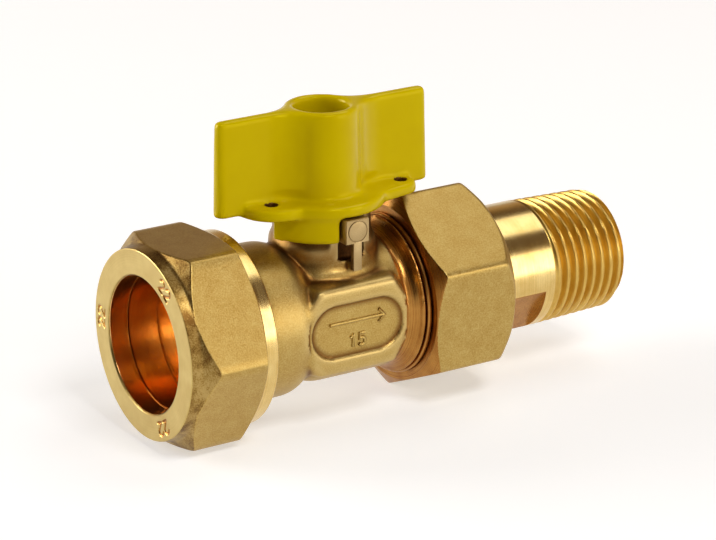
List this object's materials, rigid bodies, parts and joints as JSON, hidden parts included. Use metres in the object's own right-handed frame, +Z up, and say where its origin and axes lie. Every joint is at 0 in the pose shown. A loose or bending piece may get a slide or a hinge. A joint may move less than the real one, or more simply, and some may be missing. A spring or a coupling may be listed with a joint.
{
  "type": "gas ball valve",
  "caption": "Brass quarter-turn gas ball valve with a yellow wing handle, a compression nut for pipe at one end and a union nut with a threaded tail at the other.",
  "frame": {"origin": "centre of the pipe stop inside the compression end", "axes": "+X along the pipe towards the threaded tail, +Z up the stem towards the handle, -Y towards the front pad"},
  "size_m": [0.0883, 0.0366, 0.0516],
  "materials": {
    "forged_brass": "matte",
    "turned_brass": "satin",
    "chromed_brass": "polished",
    "yellow_enamel": "gloss",
    "white_seat": "satin",
    "black_rubber": "matte",
    "zinc_steel": "satin",
    "green_fibre": "matte"
  },
  "bodies": {
    "valve": {"valve_body": "forged_brass", "end_connector": "turned_brass", "seat_inlet": "white_seat", "seat_outlet": "white_seat"},
    "handle": {"handle": "yellow_enamel", "handle_screw": "zinc_steel", "handle_washer": "zinc_steel", "stem": "turned_brass", "stem_thrust_washer": "white_seat", "stem_o_ring_lower": "black_rubber", "stem_o_ring_upper": "black_rubber", "ball": "chromed_brass"},
    "olive": {"olive": "turned_brass"},
    "compression_nut": {"compression_nut": "forged_brass"},
    "union_tail": {"union_tail": "turned_brass", "union_gasket": "green_fibre"},
    "union_nut": {"union_nut": "forged_brass"}
  },
  "joints": [
    {"name": "handle_turn", "type": "hinge", "parent": "valve", "child": "handle", "pos_m": [0.014, 0, 0], "axis": [0, 0, 1], "range_deg": [-90, 0]},
    {"name": "olive_slide", "type": "slide", "parent": "valve", "child": "olive", "axis": [1, 0, 0], "range_m": [-0.00751, 0]},
    {"name": "compression_nut_turn", "type": "hinge", "parent": "olive", "child": "compression_nut", "pos_m": [0, 0, 0], "axis": [1, 0, 0], "range_deg": [-1800, 0]},
    {"name": "union_tail_slide", "type": "slide", "parent": "valve", "child": "union_tail", "axis": [1, 0, 0], "range_m": [0, 0.00908]},
    {"name": "union_nut_turn", "type": "hinge", "parent": "union_tail", "child": "union_nut", "pos_m": [0.0384, 0, 0], "axis": [1, 0, 0], "range_deg": [0, 1800]}
  ],
  "couplings": [
    {"joint": "olive_slide", "follows": "compression_nut_turn", "m_per_rad": 0.00023873},
    {"joint": "union_tail_slide", "follows": "union_nut_turn", "m_per_rad": 0.00028871}
  ]
}
